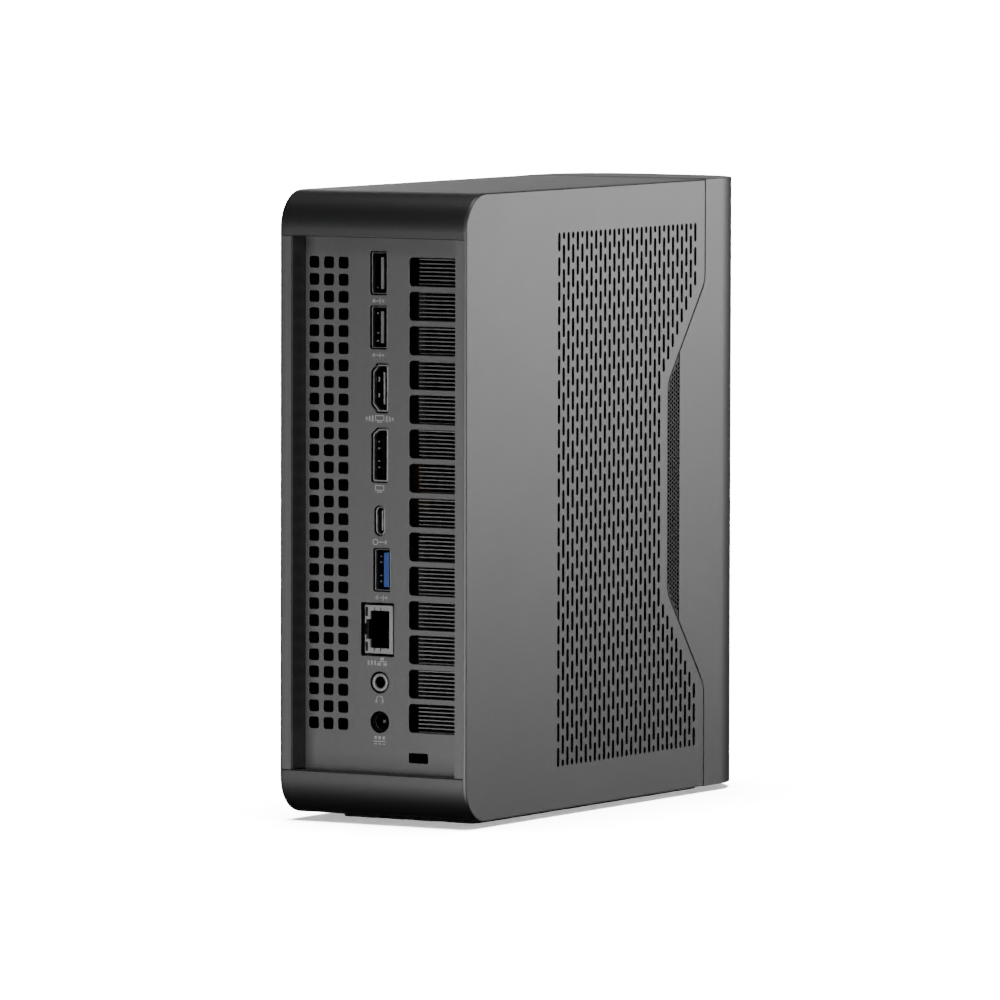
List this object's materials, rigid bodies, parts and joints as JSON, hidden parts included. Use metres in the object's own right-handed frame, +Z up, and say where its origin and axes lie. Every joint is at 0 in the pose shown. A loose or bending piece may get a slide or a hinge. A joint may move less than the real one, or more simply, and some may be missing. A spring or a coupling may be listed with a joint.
{
  "type": "mini pc",
  "caption": "Slim upright mini computer on a base pad, with slotted side panels, rear corners that curl, and ports on a plate set back into the rear.",
  "frame": {"origin": "middle of the footprint, on the surface that the base pad stands on", "axes": "+Z up, +Y towards the rear with the ports, -Y towards the front with the power button, +X towards the column of square vent holes"},
  "size_m": [0.0684, 0.187, 0.1995],
  "materials": {
    "case_paint": "satin grey paint on metal",
    "plate_paint": "satin dark grey paint",
    "mesh_steel": "fine dark mesh",
    "base_rubber": "matt black",
    "port_steel": "bright tinned steel",
    "tongue_black": "matt black",
    "tongue_grey": "matt grey",
    "tongue_blue": "matt blue",
    "jack_plastic": "black",
    "board_green": "solder mask",
    "chip_black": "moulded black",
    "copper": "bare copper",
    "fin_aluminium": "plain sheet",
    "blower_black": "moulded black",
    "frame_steel": "plated sheet",
    "screw_steel": "plated",
    "button_paint": "satin grey",
    "light_lens": "clear diffuser"
  },
  "bodies": {
    "case": {"top_cover": "case_paint", "bottom_cover": "case_paint", "left_side_panel": "case_paint", "right_side_panel": "case_paint", "left_side_mesh": "mesh_steel", "right_side_mesh": "mesh_steel", "front_cover": "case_paint", "base_foot": "base_rubber", "rear_frame": "plate_paint", "port_plate": "plate_paint", "data_port_upper": "port_steel", "data_port_upper_tongue": "tongue_grey", "data_port_lower": "port_steel", "data_port_lower_tongue": "tongue_grey", "video_port_flared": "port_steel", "video_port_flared_tongue": "tongue_black", "video_port_bevelled": "port_steel", "video_port_bevelled_tongue": "tongue_black", "oval_port": "port_steel", "oval_port_tongue": "tongue_black", "data_port_fast": "port_steel", "data_port_fast_tongue": "tongue_blue", "network_jack": "port_steel", "audio_jack": "jack_plastic", "power_inlet": "jack_plastic", "power_inlet_pin": "port_steel", "main_board": "board_green", "internal_frame": "frame_steel", "board_screw_1": "screw_steel", "board_screw_2": "screw_steel", "board_screw_3": "screw_steel", "board_screw_4": "screw_steel", "processor": "chip_black", "cold_plate": "copper", "heat_pipe_upper": "copper", "heat_pipe_lower": "copper", "fin_stack": "fin_aluminium", "blower_housing_upper": "blower_black", "blower_housing_lower": "blower_black", "memory_socket_1": "chip_black", "memory_socket_2": "chip_black", "memory_module_1": "board_green", "memory_module_2": "board_green", "storage_socket": "chip_black", "storage_module": "board_green", "wireless_socket": "chip_black", "wireless_module": "board_green", "clock_battery": "screw_steel", "power_switch": "chip_black", "power_light": "light_lens", "front_data_port": "port_steel", "front_data_port_tongue": "tongue_blue", "front_oval_port": "port_steel", "front_oval_port_tongue": "tongue_black", "front_board": "board_green"},
    "power_button": {"power_button": "button_paint"},
    "blower_rotor_upper": {"blower_rotor_upper": "blower_black"},
    "blower_rotor_lower": {"blower_rotor_lower": "blower_black"}
  },
  "joints": [
    {"name": "power_button_press", "type": "slide", "parent": "case", "child": "power_button", "axis": [0, 1, 0], "range_m": [0, 0.0008], "stiffness_N_per_m": 600, "springref_m": -0.001},
    {"name": "blower_upper_spin", "type": "hinge", "parent": "case", "child": "blower_rotor_upper", "pos_m": [-0.02095, 0.026, 0.14], "axis": [1, 0, 0], "continuous": true},
    {"name": "blower_lower_spin", "type": "hinge", "parent": "case", "child": "blower_rotor_lower", "pos_m": [-0.02095, 0.026, 0.068], "axis": [1, 0, 0], "continuous": true}
  ]
}
